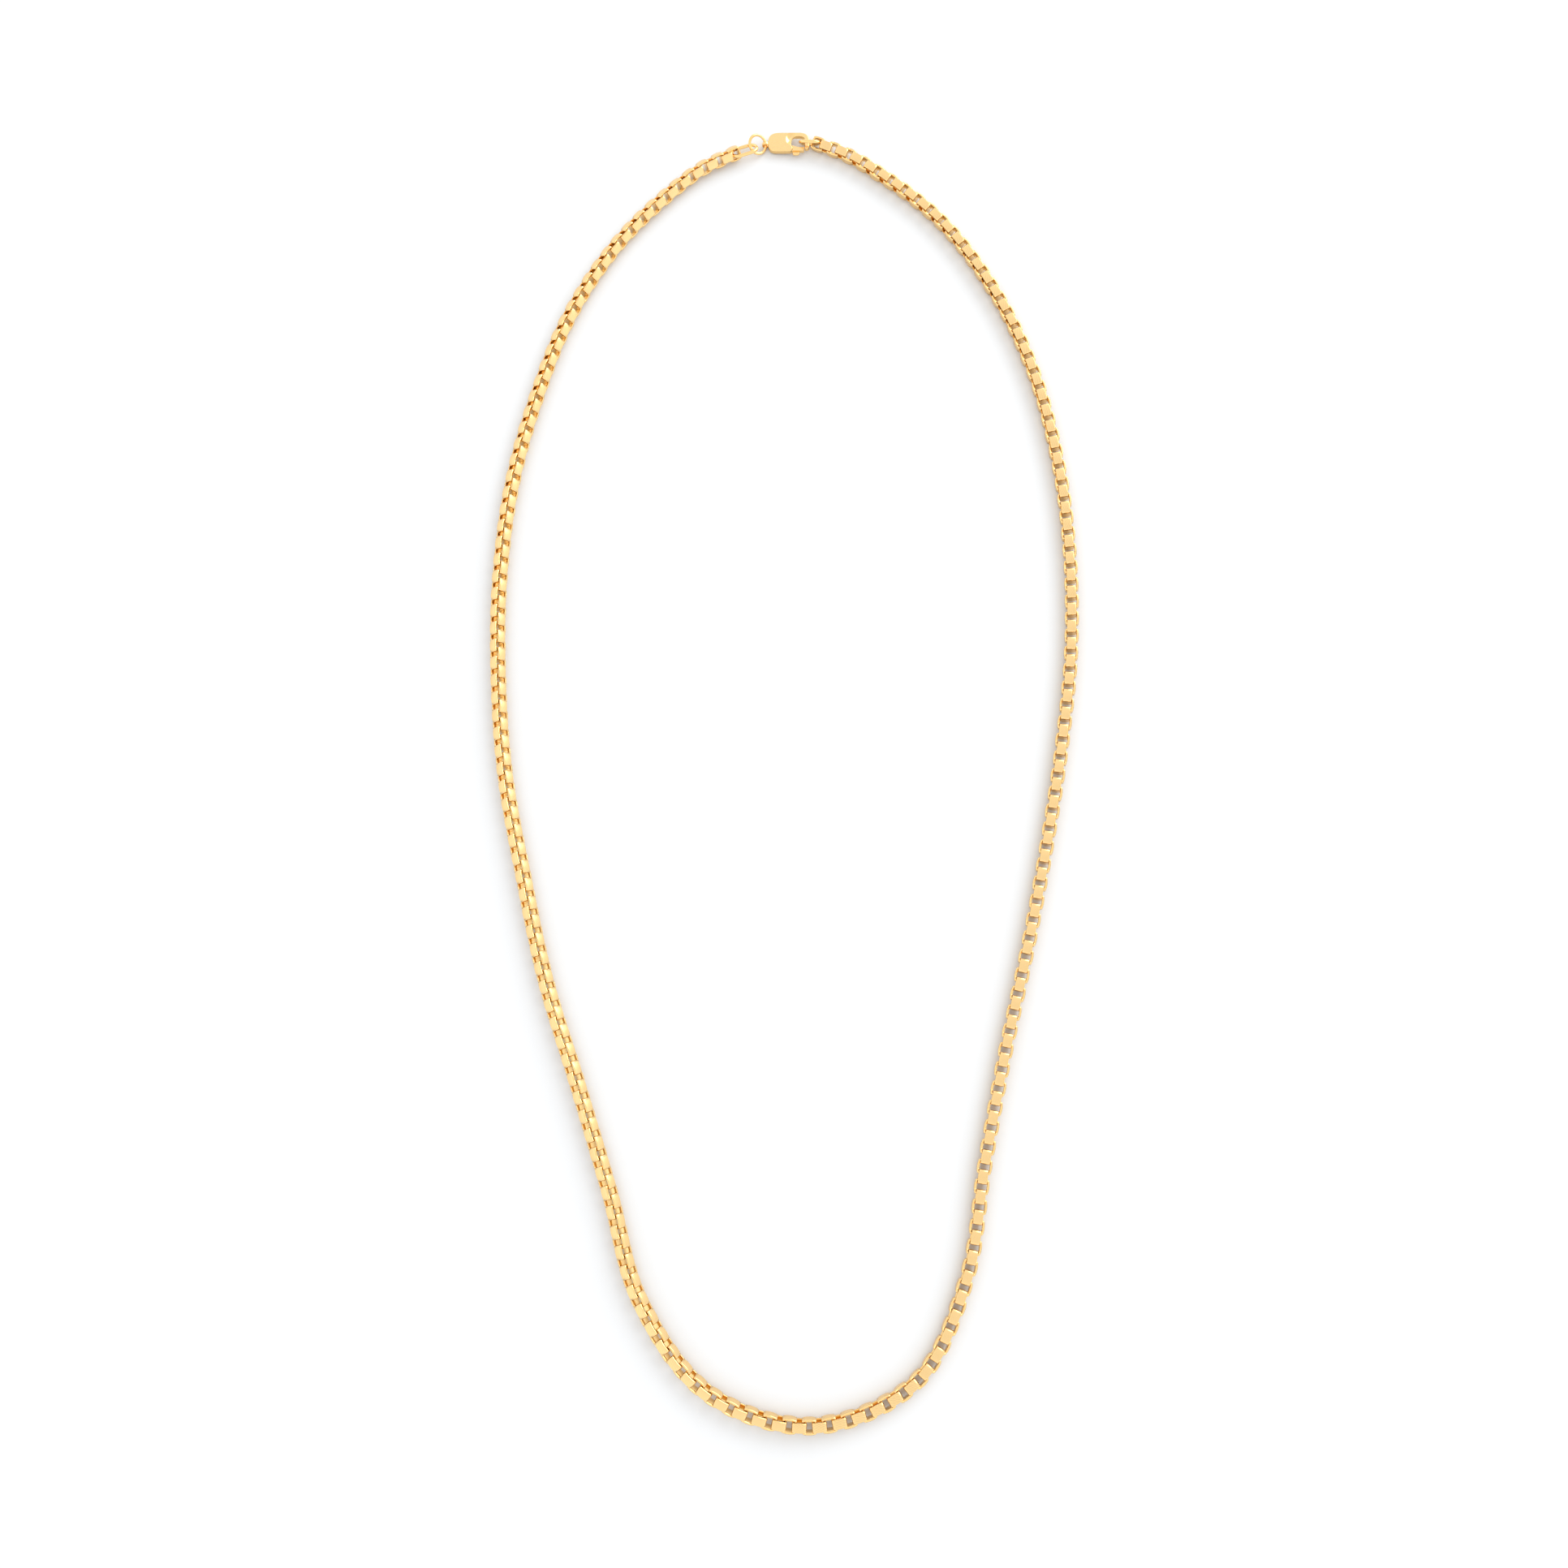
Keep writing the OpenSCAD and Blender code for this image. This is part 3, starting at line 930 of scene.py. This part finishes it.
def clasp_lever_bmesh(sizes, places):
    """The lever: its arm and thumb knob, and the thin tail that turns on the pin inside the body."""
    start = math.degrees(math.acos(SADDLE_X / places.arm))
    end = -math.degrees(math.asin((places.pivot.y - ARM_BOTTOM) / places.arm))
    arm_end = places.hook_inner - ARM_CLEARANCE
    outline = soft_outline([
        (places.pivot.x + ARM_BASE, places.pivot.y + ARM_BASE, ARM_BASE_REACH),
        (places.pivot.x + ARM_WAIST_X, places.pivot.y + ARM_WAIST_Y, ARM_WAIST_REACH),
        (arm_end, places.pivot.y + ARM_TIP_Y, ARM_TIP_REACH),
        (arm_end, ARM_BOTTOM, ARM_HEEL_REACH),
        *arc(places.pivot, places.arm, end, start, 10),
    ])
    bm = plate(outline, sizes.lever_thickness, ARM_RIM, 4)
    knob_x = places.pivot.x + KNOB_X
    root = ARM_BOTTOM + KNOB_ROOT
    knob = plate(soft_outline([
        (knob_x, root),
        (knob_x, ARM_BOTTOM - sizes.knob_length, KNOB_REACH),
        (knob_x + sizes.knob_width, ARM_BOTTOM - sizes.knob_length, KNOB_REACH),
        (knob_x + sizes.knob_width, root),
    ]), sizes.knob_thickness, KNOB_RIM)
    bmesh.ops.translate(knob, vec=Z_AXIS * -KNOB_DROP, verts=knob.verts[:])
    hub = Matrix.Translation((places.pivot.x, places.pivot.y, 0))
    tail = disc(TAIL_RADIUS, sizes.tail_thickness, hub)
    strip = bmesh.new()
    strip_l = places.arm + STRIP_REACH
    bmesh.ops.create_cube(
        strip, size=1,
        matrix=hub @ Matrix.Translation((strip_l / 2, 0, 0))
        @ Matrix.Diagonal((strip_l, TAIL_WIDTH, sizes.tail_thickness * INSET_SHARE, 1)),
    )
    bore = disc(BORE_RADIUS, sizes.thickness * 2, hub, segments=24)
    return shaped(bm, [("UNION", knob), ("UNION", tail), ("UNION", strip), ("DIFFERENCE", bore)])


class NECKLACE_OT_clasp(bpy.types.Operator):
    """Makes the lobster clasp: its body and its lever, and finishes its pin"""

    bl_idname = "necklace.clasp"
    bl_label = "Clasp"

    def execute(self, context):
        sizes = settings().clasp
        places = ClaspPlaces(sizes)
        golds = necklace_materials()
        parts = (
            ("lobster_body", "clasp_body", "necklace", clasp_body_bmesh),
            ("lobster_lever", "clasp_lever", "lever", clasp_lever_bmesh),
        )
        for name, node, body, make in parts:
            bm = make(sizes, places)
            for f in bm.faces:
                f.material_index = 0 if abs(f.normal.z) > FACE_SLOPE else 1
            bmesh.ops.transform(bm, matrix=places.matrix, verts=bm.verts[:])
            piece = finished_object(name, bm, [golds["brushed_gold"], golds["polished_gold"]])
            piece.data.set_sharp_from_angle(angle=SHARP_ANGLE)
            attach(piece, body)
            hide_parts(node)
        pin = frame["nodes"]["clasp_pin"]
        pin.data.materials.clear()
        pin.data.materials.append(golds["polished_gold"])
        return {"FINISHED"}


# The stage

FLOOR_HALF = 2
SOFTBOX_SIZE = 1.1
SOFTBOX_PLACE = (0.85, 0.95, 0.6)
SOFTBOX_TARGET = (0, 0.1, 0)


def soft_light(name, power, size, place, target):
    """A square softbox that faces a target."""
    data = bpy.data.lights.new(name, "AREA")
    data.shape = "SQUARE"
    data.size = size
    data.energy = power
    light = bpy.data.objects.new(name, data)
    light.location = place
    light.rotation_euler = (Vector(target) - Vector(place)).to_track_quat("-Z", "Y").to_euler()
    bpy.context.collection.objects.link(light)


def tent_world(look):
    """A white light tent, brighter low down than overhead."""
    world = bpy.data.worlds.new("tent")
    world.use_nodes = True
    nodes = world.node_tree.nodes
    links = world.node_tree.links
    direction = nodes.new("ShaderNodeTexCoord")
    parts = nodes.new("ShaderNodeSeparateXYZ")
    links.new(direction.outputs["Generated"], parts.inputs["Vector"])
    height = nodes.new("ShaderNodeMath")
    height.operation = "MULTIPLY_ADD"
    height.inputs[1].default_value = -look.horizon
    height.inputs[2].default_value = look.overhead + look.horizon
    links.new(parts.outputs["Z"], height.inputs[0])
    background = nodes["Background"]
    background.inputs["Color"].default_value = (1, 1, 1, 1)
    links.new(height.outputs["Value"], background.inputs["Strength"])
    return world


class NECKLACE_OT_stage(bpy.types.Operator):
    """Makes the white floor, the tent of light with its softbox, and the camera"""

    bl_idname = "necklace.stage"
    bl_label = "Stage"

    def execute(self, context):
        look = settings().stage
        scene = context.scene
        scene.view_settings.view_transform = "Standard"

        bm = bmesh.new()
        bmesh.ops.create_grid(bm, x_segments=1, y_segments=1, size=FLOOR_HALF)
        floor = finished_object("floor", bm, [floor_material(look.floor_colour)])

        soft_light("softbox", look.key_power, SOFTBOX_SIZE, SOFTBOX_PLACE, SOFTBOX_TARGET)
        scene.world = tent_world(look)

        data = bpy.data.cameras.new("camera")
        data.sensor_width = 36
        data.lens = data.sensor_width * look.focal_share
        data.clip_start = 0.005
        data.clip_end = 10
        camera = bpy.data.objects.new("camera", data)
        back = Vector((0, -math.sin(look.tilt), math.cos(look.tilt)))
        camera.location = Vector((0, look.aim, 0)) + back * look.distance
        camera.rotation_euler = (look.tilt, 0, 0)
        bpy.context.collection.objects.link(camera)
        scene.camera = camera
        return {"FINISHED"}


class NecklaceSettings(bpy.types.PropertyGroup):
    """All of the necklace's settings"""

    chain: PointerProperty(name="Chain", type=ChainSizes)
    rings: PointerProperty(name="Rings", type=RingSizes)
    clasp: PointerProperty(name="Clasp", type=ClaspSizes)
    finish: PointerProperty(name="Finish", type=GoldFinish)
    stage: PointerProperty(name="Stage", type=StageLook)


OPERATORS = (
    NECKLACE_OT_chain_links,
    NECKLACE_OT_end_links,
    NECKLACE_OT_rings,
    NECKLACE_OT_clasp,
    NECKLACE_OT_stage,
)


class NECKLACE_PT_panel(bpy.types.Panel):
    """Lists the pieces of the necklace"""

    bl_idname = "NECKLACE_PT_panel"
    bl_label = "Box Chain Necklace"
    bl_space_type = "VIEW_3D"
    bl_region_type = "UI"
    bl_category = "Necklace"

    def draw(self, context):
        for operator in OPERATORS:
            self.layout.operator(operator.bl_idname)


CLASSES = (
    ChainSizes, RingSizes, ClaspSizes, GoldFinish, StageLook, NecklaceSettings, *OPERATORS, NECKLACE_PT_panel,
)


def register():
    """Adds the classes and the scene's settings."""
    for cls in CLASSES:
        bpy.utils.register_class(cls)
    bpy.types.Scene.necklace = PointerProperty(type=NecklaceSettings)


def unregister():
    """Removes what register added."""
    del bpy.types.Scene.necklace
    for cls in reversed(CLASSES):
        bpy.utils.unregister_class(cls)


def main():
    """Makes every piece and the stage."""
    register()
    bpy.ops.necklace.chain_links()
    bpy.ops.necklace.end_links()
    bpy.ops.necklace.rings()
    bpy.ops.necklace.clasp()
    bpy.ops.necklace.stage()


if __name__ == "__main__":
    main()
